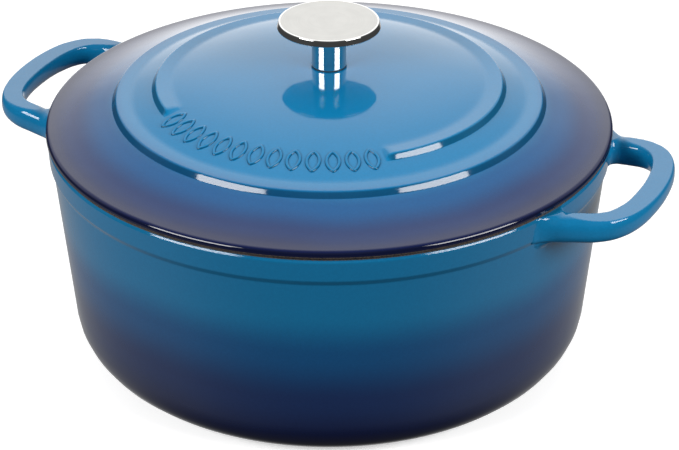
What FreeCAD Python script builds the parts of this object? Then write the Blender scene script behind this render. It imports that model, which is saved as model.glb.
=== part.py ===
import FreeCAD, Part
import math
import os

# Round enamelled cast-iron casserole: a pot with two cast loop handles, a domed lid and a turned steel knob.
# Millimetres. Origin at the middle of the underside, +Z up, handles along X, lid ornament toward -Y.

V = FreeCAD.Vector

# pot body
RIM_R = 134.5             # outside radius at the rim
POT_H = 115.0             # rim height above the table
WALL = 4.0                # wall thickness
FLOOR = 5.0               # floor thickness over the recess
DRAFT = 5.5               # wall taper, degrees
CORNER_R = 25.0           # outside radius between wall and underside
COLLAR_H = 13.0           # height of the thick band under the rim
COLLAR_STEP = 1.9         # how far the band stands out from the wall
COLLAR_STEP_H = 2.6       # height over which it steps out
COLLAR_LEAN = 0.6         # taper of the band up to the rim
COLLAR_EDGE = 1.6         # rounding above and below the band's step
RIM_EDGE = 0.7            # rounding of the rim's edges
RIM_LIP = 0.8             # extra wall thickness at the rim
FOOT_W = 6.0              # width of the standing ring
FOOT_SLOPE = 2.0          # width of the slope inside the standing ring
FOOT_EDGE = 1.0           # rounding of the standing ring's inner edge
FOOT_RECESS = 1.2         # hollow inside the standing ring

# loop handles
HANDLE_REACH = 33.0       # from the rim to the outermost point
HANDLE_SPREAD = 41.9      # half distance between the two arms at the wall
HANDLE_W = 11.2           # bar width seen from above
HANDLE_T = 13.2           # bar height
HANDLE_SLIM = 0.12        # share of the width lost at the grip
HANDLE_FLARE_W = 0.6      # share of the width gained inside the wall
HANDLE_FLARE_T = 0.4      # share of the height gained inside the wall
HANDLE_FLARE_L = 30.0     # length of the flare along the arm
HANDLE_ROOT_Z = 8.3       # arm centre below the rim at the wall
HANDLE_TIP_Z = 5.2        # grip centre below the rim at the outermost point
HANDLE_SQUARE = 2.9       # bar section: 2 is an ellipse, higher is squarer
# an arm from inside the wall outward: from the rim, sideways from the spread, up from the root
ARM_PLAN = ((-18.0, 3.4, -1.2), (-10.0, 1.4, -0.6), (-3.0, 0.0, 0.0), (4.0, -1.1, 0.9))
# the shoulder: inward from the tip, sideways from the spread, up from the root
SHOULDER_PLAN = ((-15.8, -2.6, 1.7), (-9.2, -6.6, 2.3), (-4.7, -13.2, 2.6), (-1.9, -21.8, 2.8),
                 (-0.5, -31.2, 3.1))

# lid
LID_OVERHANG = 0.5        # lid edge past the rim
LID_EDGE = 3.5            # edge thickness
LID_RISE = 29.6           # crown height over the rim
LID_T = 4.1               # plate thickness
EDGE_LEAN = 0.1           # taper of the edge
EDGE_TOP_R = 0.9          # rounding of the edge, above
EDGE_UNDER_R = 0.8        # rounding of the edge, below
SHOULDER_W = 4.5          # straight run from the crown to the edge, above and below
SEAT_GAP = 0.8            # locating flange to pot wall
FLANGE_W = 3.8            # locating flange width
FLANGE_H = 3.7            # locating flange depth
FLANGE_EDGE = 0.8         # rounding of the flange's edges
OUTER_RING_R = 103.1      # foot of the outer raised ring
INNER_RING_R = 84.0       # foot of the inner raised ring
RING_H = 2.9              # ring height at its steep outward face
RING_W = 9.5              # ring width
RING_LEAN = 1.9           # how far the steep face leans in
RING_CREST = 1.5          # rounding of the crest
RING_ROOT = 2.2           # how far a ring goes into the plate
GAP_HALF = 42.0           # half angle of the break in the inner ring
PETALS = 13               # petals in the break
PETAL_L = 14.0            # petal length, along the radius
PETAL_W = 7.4             # petal width
PETAL_RIM = 1.7           # width of the petal's raised outline
PETAL_H = 0.9             # relief over the crown
PETAL_ROOT = 3.0          # how far a petal goes into the plate
PETAL_END = 4.5           # angle from the ring's end to the first petal
PETAL_IN = 2.4            # petal row inside the inner ring's foot
NUBS = ((34.0, 8), (62.0, 14), (90.0, 20))  # drip nubs inside: circle radius and count
NUB_R = 2.6
NUB_TIP_R = 1.2
NUB_H = 1.8
NUB_ROOT = 0.8            # how far a nub goes into the plate
LAND_MARGIN = 1.8         # flat spot past the knob's stem, above and below
LAND_DROP = 0.1           # flat spot under the crown's top

# knob
STEM_R = 8.2
STEM_EDGE = 0.3
HEAD_R = 24.6
HEAD_T = 3.5
HEAD_LEAN = 0.9           # how far the rim leans in up to the flat face
HEAD_EDGE = 0.4           # rounding of the rim, above and below
HEAD_DISH = 0.4           # rise of the underside towards the rim
HEAD_LAND = 1.0           # flat on the underside past the stem
KNOB_H = 23.2             # from the lid to the head's face
GASKET_T = 0.5            # gasket thickness; it is as wide as the stem
TENON_R = 4.0             # stem spigot in the head's socket
TENON_L = 1.8
TENON_CLEAR = 0.05

# knob fastening
SCREW_D = 5.0
SCREW_HEAD_D = 9.5
SCREW_HEAD_H = 3.2
SCREW_HEAD_DOME = 1.8     # width and height of the head's sloping edge
SCREW_HEAD_EDGE = 0.7
SCREW_SLOT_W = 1.2
SCREW_SLOT_L = 6.0
SCREW_SLOT_DEEP = 1.4
SCREW_IN = 13.0           # length inside the stem
SCREW_CLEAR = 0.1         # thread clearance in the stem
SCREW_POINT = 0.6         # chamfer at the tip
BORE_SPARE = 1.5          # bore past the screw's tip
HOLE_CLEAR = 0.5          # radial clearance in the lid and gasket
WASHER_T = 1.0
WASHER_W = 3.75           # width of the flat washer's ring
WASHER_CLEAR = 0.25
LOCK_T = 1.2
LOCK_W = 1.95             # width of the split washer's ring
LOCK_CLEAR = 0.15
LOCK_SPLIT = 0.7          # gap in the split washer
LOCK_ANGLE = 20.0         # slant of the split, degrees

SLOPE = math.tan(math.radians(DRAFT))
LID_R = RIM_R + LID_OVERHANG
BORE_R = RIM_R - WALL - RIM_LIP       # inside radius at the rim
COLLAR_Z = POT_H - COLLAR_H
LID_TOP_EDGE = POT_H + LID_EDGE
CROWN_Z = POT_H + LID_RISE
PETAL_ROW_R = INNER_RING_R - PETAL_IN
LAND_R = STEM_R + LAND_MARGIN
LAND_Z = CROWN_Z - LAND_DROP
LAND_UNDER_Z = LAND_Z - LID_T
HOLE_R = SCREW_D / 2 + HOLE_CLEAR
STEM_FOOT = LAND_Z + GASKET_T
HEAD_TOP = LAND_Z + KNOB_H
HEAD_UNDER = HEAD_TOP - HEAD_T
WASHER_Z = LAND_UNDER_Z - WASHER_T
LOCK_Z = WASHER_Z - LOCK_T


def crown(r):
    # top face of the lid without its rings: domed in the middle, straight flanks, flattening at the edge
    u = r / LID_R
    return CROWN_Z - (CROWN_Z - LID_TOP_EDGE) * (0.504 * u ** 2 + 1.787 * u ** 4 - 1.291 * u ** 6)


def pt(r, z):
    return V(r, 0, z)


def line(a, b):
    return Part.makeLine(pt(*a), pt(*b))


def arc(a, m, b):
    return Part.Arc(pt(*a), pt(*m), pt(*b)).toShape()


def spline(points):
    c = Part.BSplineCurve()
    c.interpolate([pt(*p) for p in points])
    return c.toShape()


def revolve(edges, angle=360.0, start=0.0):
    wire = Part.Wire(Part.__sortEdges__(edges))
    solid = Part.Face(wire).revolve(V(0, 0, 0), V(0, 0, 1), angle)
    if solid.Volume < 0:
        solid.reverse()
    if start:
        solid.rotate(V(0, 0, 0), V(0, 0, 1), start)
    return solid


def rounded_path(points, radii):
    # polyline in (r, z) with each corner rounded by its own radius; returns edges
    edges = []
    cur = points[0]
    for i in range(1, len(points) - 1):
        p, c, n, rad = points[i - 1], points[i], points[i + 1], radii[i - 1]
        if rad <= 0:
            edges.append(line(cur, c))
            cur = c
            continue
        u = (c[0] - p[0], c[1] - p[1])
        w = (n[0] - c[0], n[1] - c[1])
        lu, lw = math.hypot(*u), math.hypot(*w)
        u, w = (u[0] / lu, u[1] / lu), (w[0] / lw, w[1] / lw)
        turn = math.acos(max(-1, min(1, u[0] * w[0] + u[1] * w[1])))
        t = rad * math.tan(turn / 2)
        a = (c[0] - u[0] * t, c[1] - u[1] * t)
        b = (c[0] + w[0] * t, c[1] + w[1] * t)
        h = (w[0] - u[0], w[1] - u[1])
        lh = math.hypot(*h)
        d = rad / math.cos(turn / 2) - rad
        m = (c[0] + h[0] / lh * d, c[1] + h[1] / lh * d)
        if math.hypot(a[0] - cur[0], a[1] - cur[1]) > 1e-6:
            edges.append(line(cur, a))
        edges.append(arc(a, m, b))
        cur = b
    edges.append(line(cur, points[-1]))
    return edges


def wall_r(z):
    # outside radius of the plain wall under the collar
    return RIM_R - COLLAR_STEP - (COLLAR_Z - z) * SLOPE


def pot_body():
    base_r = wall_r(0)
    foot_out = base_r - CORNER_R * math.tan(math.radians(45 - DRAFT / 2))
    foot_in = foot_out - FOOT_W
    rim_mid = (RIM_R + BORE_R) / 2
    step_low, step_high = COLLAR_Z - COLLAR_STEP_H / 2, COLLAR_Z + COLLAR_STEP_H / 2
    outer = rounded_path(
        [(0, FOOT_RECESS), (foot_in - FOOT_SLOPE, FOOT_RECESS), (foot_in, 0), (base_r, 0),
         (wall_r(step_low), step_low), (RIM_R - COLLAR_LEAN, step_high), (RIM_R, POT_H), (rim_mid, POT_H)],
        [FOOT_EDGE, FOOT_EDGE, CORNER_R, COLLAR_EDGE, COLLAR_EDGE, RIM_EDGE])
    floor_z = FOOT_RECESS + FLOOR
    inner = rounded_path(
        [(rim_mid, POT_H), (BORE_R, POT_H), (BORE_R - SLOPE * (POT_H - floor_z), floor_z), (0, floor_z)],
        [RIM_EDGE, CORNER_R - WALL])
    return revolve(outer + inner + [line((0, floor_z), (0, FOOT_RECESS))])


def handle_path():
    tip = RIM_R + HANDLE_REACH - HANDLE_W * (1 - HANDLE_SLIM) / 2
    root = POT_H - HANDLE_ROOT_Z
    half = [(RIM_R + x, HANDLE_SPREAD + y, root + z) for x, y, z in ARM_PLAN]
    half += [(tip + x, HANDLE_SPREAD + y, root + z) for x, y, z in SHOULDER_PLAN]
    middle = (tip, 0, POT_H - HANDLE_TIP_Z)
    mirrored = [(x, -y, z) for x, y, z in reversed(half)]
    return [V(*p) for p in half + [middle] + mirrored]


def bar_section(centre, tangent, width, height):
    # rounded bar section, stood upright and square to the path
    along = V(tangent.x, tangent.y, tangent.z).normalize()
    side = along.cross(V(0, 0, 1)).normalize()
    up = side.cross(along).normalize()
    count, power = 20, 2 / HANDLE_SQUARE
    points = []
    for i in range(count):
        c, s = math.cos(2 * math.pi * i / count), math.sin(2 * math.pi * i / count)
        points.append(centre + side * (width / 2 * math.copysign(abs(c) ** power, c))
                      + up * (height / 2 * math.copysign(abs(s) ** power, s)))
    curve = Part.BSplineCurve()
    curve.interpolate(points, PeriodicFlag=True)
    return Part.Wire([curve.toShape()])


def loop_handle():
    path = Part.BSplineCurve()
    path.interpolate(handle_path())
    length, steps = path.length(), 26
    sections = []
    for i in range(steps + 1):
        at = path.parameterAtDistance(length * i / steps, path.FirstParameter)
        at = min(max(at, path.FirstParameter), path.LastParameter)
        from_end = min(i, steps - i) / steps * length
        flare = max(0.0, 1 - from_end / HANDLE_FLARE_L) ** 2
        slim = 1 - HANDLE_SLIM * math.sin(math.pi * i / steps) ** 2
        width = HANDLE_W * slim * (1 + HANDLE_FLARE_W * flare)
        height = HANDLE_T * (1 + HANDLE_FLARE_T * flare)
        sections.append(bar_section(path.value(at), path.tangent(at)[0], width, height))
    bar = Part.makeLoft(sections, True, False)
    if bar.Volume < 0:
        bar.reverse()
    # the arms end in the middle of the wall, short of the cavity
    low, high = POT_H - 4 * HANDLE_T, POT_H + 2 * HANDLE_T
    keep = Part.makeCylinder(RIM_R + 2 * HANDLE_REACH, high - low, V(0, 0, low))
    core = Part.makeCone(wall_r(low) - WALL / 2, wall_r(high) - WALL / 2, high - low, V(0, 0, low))
    return bar.common(keep.cut(core))


def pot():
    body = pot_body()
    bar = loop_handle()
    other = bar.copy()
    other.rotate(V(0, 0, 0), V(0, 0, 1), 180)
    return body.fuse([bar, other]).removeSplitter()


def spaced(first, last, count):
    return [first + (last - first) * i / count for i in range(count + 1)]


def ring(foot_r, angle=360.0, start=0.0):
    # raised ring: steep outward face, rounded crest, long shallow slope that runs out in the crown
    inner_r = foot_r - RING_W
    foot, crest = (foot_r, crown(foot_r)), (foot_r - RING_LEAN, crown(foot_r) + RING_H)
    run_out = (inner_r, crown(inner_r) - 0.02)
    root_out, root_in = (foot_r + 0.1, foot[1] - RING_ROOT), (inner_r, run_out[1] - RING_ROOT)
    edges = rounded_path([root_out, foot, crest, run_out, root_in], [0, RING_CREST, 0])
    return revolve(edges + [line(root_in, root_out)], angle, start)


def petal(length, width, low, high):
    # pointed oval prism along +X
    tip, bulge = length / 2, width / 2
    left_side = Part.Arc(V(-tip, 0, low), V(0, bulge, low), V(tip, 0, low)).toShape()
    right_side = Part.Arc(V(tip, 0, low), V(0, -bulge, low), V(-tip, 0, low)).toShape()
    return Part.Face(Part.Wire([left_side, right_side])).extrude(V(0, 0, high - low))


def ornament():
    # open petals standing in the break of the inner ring, trimmed to an even relief over the crown
    r0, r1 = PETAL_ROW_R - PETAL_L * 0.65, PETAL_ROW_R + PETAL_L * 0.65
    tops = [(r, crown(r) + PETAL_H) for r in spaced(r0, r1, 8)]
    low_in, low_out = (r0, tops[0][1] - PETAL_ROOT), (r1, tops[-1][1] - PETAL_ROOT)
    layer = revolve([spline(tops), line(tops[-1], low_out), line(low_out, low_in), line(low_in, tops[0])],
                    2 * GAP_HALF, -90 - GAP_HALF)
    low, high = crown(r1) - PETAL_ROOT, crown(r0) + PETAL_ROOT
    inner_l, inner_w = PETAL_L - 2.7 * PETAL_RIM, PETAL_W - 2 * PETAL_RIM
    pitch = 2 * (GAP_HALF - PETAL_END) / (PETALS - 1)
    shapes = []
    for i in range(PETALS):
        outline = petal(PETAL_L, PETAL_W, low, high).cut(petal(inner_l, inner_w, low - 1, high + 1))
        outline.translate(V(PETAL_ROW_R, 0, 0))
        outline.rotate(V(0, 0, 0), V(0, 0, 1), -90 + (i - (PETALS - 1) / 2) * pitch)
        shapes.append(outline.common(layer))
    return shapes


def drip_nubs():
    nubs = []
    for radius, count in NUBS:
        tip_z = crown(radius) - LID_T - NUB_H
        for i in range(count):
            turn = 2 * math.pi * (i + 0.5) / count
            place = V(radius * math.cos(turn), radius * math.sin(turn), tip_z)
            nubs.append(Part.makeCone(NUB_TIP_R, NUB_R, NUB_H + NUB_ROOT, place))
    return nubs


def lid():
    seat_r = BORE_R - SEAT_GAP
    flange_in = seat_r - FLANGE_W
    shoulder_r = LID_R - SHOULDER_W
    top = spline([(LAND_R, LAND_Z)] + [(r, crown(r)) for r in spaced(LAND_R, shoulder_r, 14)[1:]])
    edge = rounded_path(
        [(shoulder_r, crown(shoulder_r)), (LID_R - EDGE_LEAN, LID_TOP_EDGE), (LID_R, POT_H), (seat_r, POT_H)],
        [EDGE_TOP_R, EDGE_UNDER_R])
    inside = (flange_in - 0.4, POT_H + 0.5)
    flange_z = POT_H - FLANGE_H
    flange = rounded_path([(seat_r, POT_H), (seat_r, flange_z), (flange_in, flange_z), inside],
                          [FLANGE_EDGE, FLANGE_EDGE])
    under_points = [(r, crown(r) - LID_T) for r in spaced(inside[0] - SHOULDER_W, LAND_R, 14)[:-1]]
    under = spline([inside] + under_points + [(LAND_R, LAND_UNDER_Z)])
    land_top = line((HOLE_R, LAND_Z), (LAND_R, LAND_Z))
    land_under = line((LAND_R, LAND_UNDER_Z), (HOLE_R, LAND_UNDER_Z))
    hole = line((HOLE_R, LAND_UNDER_Z), (HOLE_R, LAND_Z))
    plate = revolve([land_top, top] + edge + flange + [under, land_under, hole])
    rings = [ring(OUTER_RING_R), ring(INNER_RING_R, 360 - 2 * GAP_HALF, -90 + GAP_HALF)]
    return plate.fuse(rings + ornament() + drip_nubs()).removeSplitter()


def tube(outer_r, inner_r, z, height):
    return Part.makeCylinder(outer_r, height, V(0, 0, z)).cut(Part.makeCylinder(inner_r, height, V(0, 0, z)))


def knob_gasket():
    return tube(STEM_R, HOLE_R, LAND_Z, GASKET_T)


def knob_stem():
    bore = SCREW_D / 2 + SCREW_CLEAR
    bore_top = STEM_FOOT + SCREW_IN + BORE_SPARE
    tenon_top = HEAD_UNDER + TENON_L
    edges = rounded_path(
        [(bore, STEM_FOOT), (STEM_R, STEM_FOOT), (STEM_R, HEAD_UNDER), (TENON_R, HEAD_UNDER),
         (TENON_R, tenon_top), (0, tenon_top), (0, bore_top + bore / 2), (bore, bore_top)],
        [STEM_EDGE, 0, 0, 0, 0, 0])
    return revolve(edges + [line((bore, bore_top), (bore, STEM_FOOT))])


def knob_head():
    socket_r, socket_z = TENON_R + TENON_CLEAR, HEAD_UNDER + TENON_L + TENON_CLEAR
    edges = rounded_path(
        [(0, HEAD_TOP), (HEAD_R - HEAD_LEAN, HEAD_TOP), (HEAD_R, HEAD_UNDER + HEAD_DISH),
         (STEM_R + HEAD_LAND, HEAD_UNDER), (socket_r, HEAD_UNDER), (socket_r, socket_z), (0, socket_z)],
        [HEAD_EDGE, HEAD_EDGE, 0, 0, 0])
    return revolve(edges + [line((0, socket_z), (0, HEAD_TOP))])


def knob_screw():
    shaft_r, head_r = SCREW_D / 2, SCREW_HEAD_D / 2
    bottom, tip = LOCK_Z - SCREW_HEAD_H, STEM_FOOT + SCREW_IN
    flat_r, dome_z = head_r - SCREW_HEAD_DOME, bottom + SCREW_HEAD_DOME
    edges = rounded_path(
        [(0, bottom), (flat_r, bottom), (head_r, dome_z), (head_r, LOCK_Z), (shaft_r, LOCK_Z),
         (shaft_r, tip - SCREW_POINT), (shaft_r - SCREW_POINT, tip), (0, tip)],
        [SCREW_HEAD_EDGE, SCREW_HEAD_EDGE, 0, 0, 0, 0])
    screw = revolve(edges + [line((0, tip), (0, bottom))])
    half_w, half_l = SCREW_SLOT_W / 2, SCREW_SLOT_L / 2
    cross = [Part.makeBox(2 * a, 2 * b, SCREW_SLOT_DEEP + 1, V(-a, -b, bottom - 1))
             for a, b in ((half_w, half_l), (half_l, half_w))]
    return screw.cut(cross).removeSplitter()


def screw_washer():
    bore = SCREW_D / 2 + WASHER_CLEAR
    return tube(bore + WASHER_W, bore, WASHER_Z, WASHER_T)


def lock_washer():
    bore = SCREW_D / 2 + LOCK_CLEAR
    band = tube(bore + LOCK_W, bore, LOCK_Z, LOCK_T)
    corner = V(bore / 2, -LOCK_SPLIT / 2, LOCK_Z - LOCK_T)
    split = Part.makeBox(bore + 2 * LOCK_W, LOCK_SPLIT, 3 * LOCK_T, corner)
    split.rotate(V(0, 0, LOCK_Z + LOCK_T / 2), V(1, 0, 0), LOCK_ANGLE)
    return band.cut(split)


PARTS = {
    "pot": pot,
    "lid": lid,
    "knob_gasket": knob_gasket,
    "knob_stem": knob_stem,
    "knob_head": knob_head,
    "knob_screw": knob_screw,
    "screw_washer": screw_washer,
    "lock_washer": lock_washer,
}

os.makedirs("parts", exist_ok=True)
for name, make in PARTS.items():
    shape = make()
    solids = shape.Solids
    b = shape.BoundBox
    print("%-13s solids %d valid %s volume %.1f cm3  x %.2f..%.2f y %.2f..%.2f z %.2f..%.2f" % (
        name, len(solids), shape.isValid(), shape.Volume / 1000, b.XMin, b.XMax, b.YMin, b.YMax, b.ZMin, b.ZMax))
    if len(solids) == 1:
        shape = solids[0]
    shape.exportStep("parts/%s.step" % name)
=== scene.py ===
import math
import bpy
import bmesh
from mathutils import Matrix, Vector


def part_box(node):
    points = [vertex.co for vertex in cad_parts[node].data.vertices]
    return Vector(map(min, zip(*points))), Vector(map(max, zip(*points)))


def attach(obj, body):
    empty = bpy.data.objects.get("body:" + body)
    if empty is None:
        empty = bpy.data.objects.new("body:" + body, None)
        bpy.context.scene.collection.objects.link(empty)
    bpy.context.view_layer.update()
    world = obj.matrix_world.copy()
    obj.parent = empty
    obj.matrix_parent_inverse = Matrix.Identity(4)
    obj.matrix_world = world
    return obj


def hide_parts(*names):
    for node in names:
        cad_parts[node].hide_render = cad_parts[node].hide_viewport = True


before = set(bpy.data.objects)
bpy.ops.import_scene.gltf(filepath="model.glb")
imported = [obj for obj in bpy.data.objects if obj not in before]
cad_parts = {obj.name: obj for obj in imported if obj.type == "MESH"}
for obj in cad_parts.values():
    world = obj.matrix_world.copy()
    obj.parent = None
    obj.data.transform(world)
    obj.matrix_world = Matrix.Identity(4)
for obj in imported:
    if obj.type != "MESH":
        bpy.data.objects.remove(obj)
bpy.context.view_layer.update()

mm = 0.001

lidLow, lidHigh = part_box("lid")
discLow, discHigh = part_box("knob_head")
columnLow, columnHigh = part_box("knob_stem")
gasketLow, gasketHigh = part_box("knob_gasket")
lidR = round((lidHigh[1] - lidLow[1]) / 2 / mm, 1)
flangeDepth = 3.7              # the lid reaches this far down into the pot, mm
mergeGap = 0.002               # points nearer than this are one point, mm


def addNode(tree, kind, inputs=None, **props):
    node = tree.nodes.new(kind)
    for name, value in props.items():
        setattr(node, name, value)
    for name, value in (inputs or {}).items():
        if isinstance(value, bpy.types.NodeSocket):
            tree.links.new(value, node.inputs[name])
        else:
            node.inputs[name].default_value = value
    return node


def mathNode(tree, operation, a, b=None, clamp=False):
    inputs = {0: a} if b is None else {0: a, 1: b}
    return addNode(tree, "ShaderNodeMath", inputs, operation=operation, use_clamp=clamp).outputs[0]


def mapRange(tree, value, low, high, first=0.0, second=1.0, kind="LINEAR"):
    return addNode(tree, "ShaderNodeMapRange", {0: value, 1: low, 2: high, 3: first, 4: second},
                   interpolation_type=kind).outputs[0]


def noise(tree, place, scale, detail=2.0):
    return addNode(tree, "ShaderNodeTexNoise", {"Vector": place, "Scale": scale, "Detail": detail}).outputs[0]


def splitVector(tree, vector):
    return addNode(tree, "ShaderNodeSeparateXYZ", {0: vector}).outputs


def joinVector(tree, x=0.0, y=0.0, z=0.0):
    return addNode(tree, "ShaderNodeCombineXYZ", {0: x, 1: y, 2: z}).outputs[0]


def scaled(tree, vector, factor):
    return addNode(tree, "ShaderNodeVectorMath", {0: vector, "Scale": factor}, operation="SCALE").outputs[0]


def flatLength(tree, place):
    # distance from the Z axis
    flat = addNode(tree, "ShaderNodeVectorMath", {0: place, 1: (1, 1, 0)}, operation="MULTIPLY").outputs[0]
    return addNode(tree, "ShaderNodeVectorMath", {0: flat}, operation="LENGTH").outputs["Value"]


def newTree(name, inputs):
    # every size a user may want is an input of the tree
    tree = bpy.data.node_groups.new(name, "GeometryNodeTree")
    tree.is_modifier = True
    tree.interface.new_socket("Geometry", in_out="INPUT", socket_type="NodeSocketGeometry")
    for label, value in inputs.items():
        kind = "NodeSocketInt" if isinstance(value, int) else "NodeSocketFloat"
        tree.interface.new_socket(label, in_out="INPUT", socket_type=kind).default_value = value
    tree.interface.new_socket("Geometry", in_out="OUTPUT", socket_type="NodeSocketGeometry")
    return tree, addNode(tree, "NodeGroupInput").outputs, addNode(tree, "NodeGroupOutput")


def finishTree(tree, groupOut, geometry, material):
    real = addNode(tree, "GeometryNodeRealizeInstances", {0: geometry})
    if material:
        real = addNode(tree, "GeometryNodeSetMaterial", {"Geometry": real.outputs[0], "Material": material})
    tree.links.new(real.outputs[0], groupOut.inputs[0])


def runTree(obj, tree, values):
    # plain mesh out of the tree, modifier gone
    modifier = obj.modifiers.new(tree.name, "NODES")
    modifier.node_group = tree
    sockets = {s.name: s.identifier for s in tree.interface.items_tree if s.in_out == "INPUT"}
    for label, value in values.items():
        modifier[sockets[label]] = value
    ready = obj.evaluated_get(bpy.context.evaluated_depsgraph_get())
    mesh = bpy.data.meshes.new_from_object(ready)
    obj.modifiers.clear()
    old = obj.data
    obj.data = mesh
    bpy.data.meshes.remove(old)
    mesh.name = obj.name
    closeMesh(mesh)


def closeMesh(mesh):
    bm = bmesh.new()
    bm.from_mesh(mesh)
    bmesh.ops.remove_doubles(bm, verts=bm.verts, dist=mergeGap * mm)
    bmesh.ops.recalc_face_normals(bm, faces=bm.faces)
    bm.to_mesh(mesh)
    bm.free()
    mesh.shade_smooth()


def newObject(name, mesh):
    obj = bpy.data.objects.new(name, mesh)
    bpy.context.scene.collection.objects.link(obj)
    return obj


def addPiece(obj, body, slotName, *nodes):
    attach(obj, body)
    if nodes:
        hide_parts(*nodes)
    print("piece", obj.name, len(obj.data.polygons), "faces")


def newMaterial(name, settings):
    material = bpy.data.materials.new(name)
    material.use_nodes = True
    tree = material.node_tree
    shader = tree.nodes["Principled BSDF"]
    for label, value in settings.items():
        shader.inputs[label].default_value = value
    place = addNode(tree, "ShaderNodeTexCoord").outputs["Object"]
    return material, tree, shader, place


def colourRamp(tree, factor, stops):
    ramp = addNode(tree, "ShaderNodeValToRGB", {0: factor})
    ramp.color_ramp.interpolation = "EASE"
    while len(ramp.color_ramp.elements) < len(stops):
        ramp.color_ramp.elements.new(0.5)
    for element, (position, colour) in zip(ramp.color_ramp.elements, stops):
        element.position = position
        element.color = (*colour, 1)
    return ramp.outputs[0]


def tintByNoise(tree, colour, place, scale, amount):
    # brightens and darkens a colour in patches
    level = mapRange(tree, noise(tree, place, scale, 3.0), 0.3, 0.7, 1 - amount, 1 + amount)
    return scaled(tree, colour, level)


def addBump(tree, shader, height, depth):
    bump = addNode(tree, "ShaderNodeBump", {"Height": height, "Distance": depth, "Strength": 1.0})
    tree.links.new(bump.outputs[0], shader.inputs["Normal"])


coatIor = 1.5

enamelLook = {
    "blue": (0.005, 0.198, 0.425),
    "deep": (0.004, 0.092, 0.262),
    "slate": (0.008, 0.031, 0.125),
    "navy": (0.005, 0.010, 0.058),
    "roughness": 0.07,
    "waviness": 0.10,          # depth of the slow waves in the glaze, mm
    "waveScale": 55.0,
    "speckle": 0.05,           # share by which fine patches are lighter or darker
    "speckleScale": 900.0,
    "drift": 4.0,              # the fade wanders by this much, mm
    "driftScale": 14.0,
    "potFade": (12, 84),       # height where the navy starts and ends, mm
    "potSteps": (0.35, 0.7),   # share of that height where slate and deep blue stand
    "potShade": 0.70,          # painted shade: the pot's colours are darkened by this share, standing in for the wall's weaker light
    # painted shade: the handles' colours are darkened by this share
    "handleShade": 0.86,
    "lidFade": (96, 134),      # radius where the navy starts and ends, mm
    "lidSteps": (0.3, 0.7),    # share of that radius where deep blue and slate stand
    "steepShade": 0.45,        # painted shade: the lid's steep faces are darkened down to this share
    "steepFrom": (0.5, 0.88),  # upward part of the normal where that is full and where it starts
}


def enamel(name, fadeBy, shade=1.0):
    look = enamelLook
    material, tree, shader, place = newMaterial(name, {"Roughness": look["roughness"], "IOR": coatIor})
    drift = noise(tree, place, look["driftScale"])
    drift = mapRange(tree, drift, 0.0, 1.0, -look["drift"] * mm, look["drift"] * mm)
    if fadeBy == "height":
        reach = splitVector(tree, place)["Z"]
        low, high = look["potFade"]
        slateAt, deepAt = look["potSteps"]
        stops = [(0.0, look["navy"]), (slateAt, look["slate"]), (deepAt, look["deep"]), (1.0, look["blue"])]
    else:
        reach = flatLength(tree, place)
        low, high = look["lidFade"]
        deepAt, slateAt = look["lidSteps"]
        stops = [(0.0, look["blue"]), (deepAt, look["deep"]), (slateAt, look["slate"]), (1.0, look["navy"])]
    fade = mapRange(tree, mathNode(tree, "ADD", reach, drift), low * mm, high * mm)
    # painted shade: the whole ramp is darkened by the shade share
    stops = [(at, tuple(channel * shade for channel in colour)) for at, colour in stops]
    colour = colourRamp(tree, fade, stops)
    # painted shade: the lid's colour darkens where its faces turn steep, by the upward part of the normal
    if fadeBy == "radius":
        upward = splitVector(tree, addNode(tree, "ShaderNodeNewGeometry").outputs["Normal"])["Z"]
        paintedSteepShade = mapRange(tree, upward, *look["steepFrom"], look["steepShade"], 1.0, "SMOOTHSTEP")
        colour = scaled(tree, colour, paintedSteepShade)
    colour = tintByNoise(tree, colour, place, look["speckleScale"], look["speckle"])
    tree.links.new(colour, shader.inputs["Base Color"])
    waves = noise(tree, place, look["waveScale"], 1.5)
    addBump(tree, shader, waves, look["waviness"] * mm)
    return material


creamLook = {
    "base": (0.74, 0.66, 0.50),
    "speck": (0.42, 0.34, 0.22),
    "speckScale": 700.0,
    "speckSize": (0.10, 0.22),  # dark inside the first, gone past the second
    "patches": 0.04,
    "roughness": 0.16,
    "waviness": 0.08,          # mm
}


def creamEnamel():
    look = creamLook
    settings = {"Roughness": look["roughness"], "IOR": coatIor}
    material, tree, shader, place = newMaterial("creamEnamel", settings)
    cells = addNode(tree, "ShaderNodeTexVoronoi", {"Vector": place, "Scale": look["speckScale"]})
    specks = mapRange(tree, cells.outputs["Distance"], *look["speckSize"])
    colour = colourRamp(tree, specks, [(0.0, look["speck"]), (1.0, look["base"])])
    colour = tintByNoise(tree, colour, place, 30.0, look["patches"])
    tree.links.new(colour, shader.inputs["Base Color"])
    addBump(tree, shader, noise(tree, place, 70.0), look["waviness"] * mm)
    return material


ironLook = {                   # matt black coat on the rims and the standing ring
    "dark": (0.014, 0.010, 0.008),
    "light": (0.085, 0.064, 0.048),
    "roughness": 0.62,
    "grain": (1500.0, 4.0),    # scale and detail
    "grainDepth": 0.08,        # mm
}
rubberLook = {
    "dark": (0.008, 0.008, 0.009),
    "light": (0.022, 0.022, 0.024),
    "roughness": 0.55,
    "grain": (2500.0, 2.0),
    "grainDepth": 0.03,
}


def grainy(name, look):
    material, tree, shader, place = newMaterial(name, {"Roughness": look["roughness"], "IOR": coatIor})
    grain = noise(tree, place, *look["grain"])
    colour = colourRamp(tree, grain, [(0.3, look["dark"]), (0.7, look["light"])])
    tree.links.new(colour, shader.inputs["Base Color"])
    addBump(tree, shader, grain, look["grainDepth"] * mm)
    return material


steelLooks = {                 # scale of the grooves, and their depth in mm
    "brushedSteel": {"tone": (0.49, 0.485, 0.465), "roughness": 0.30, "grooves": 3000.0, "depth": 0.006},
    "polishedSteel": {"tone": (0.80, 0.80, 0.79), "roughness": 0.06, "grooves": 900.0, "depth": 0.001},
    "screwSteel": {"tone": (0.55, 0.55, 0.54), "roughness": 0.28, "grooves": 1500.0, "depth": 0.006},
}
steelDark = 0.86               # share of the tone left in the marks
steelSmear = 0.35              # share of hand marks in the turning marks


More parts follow.
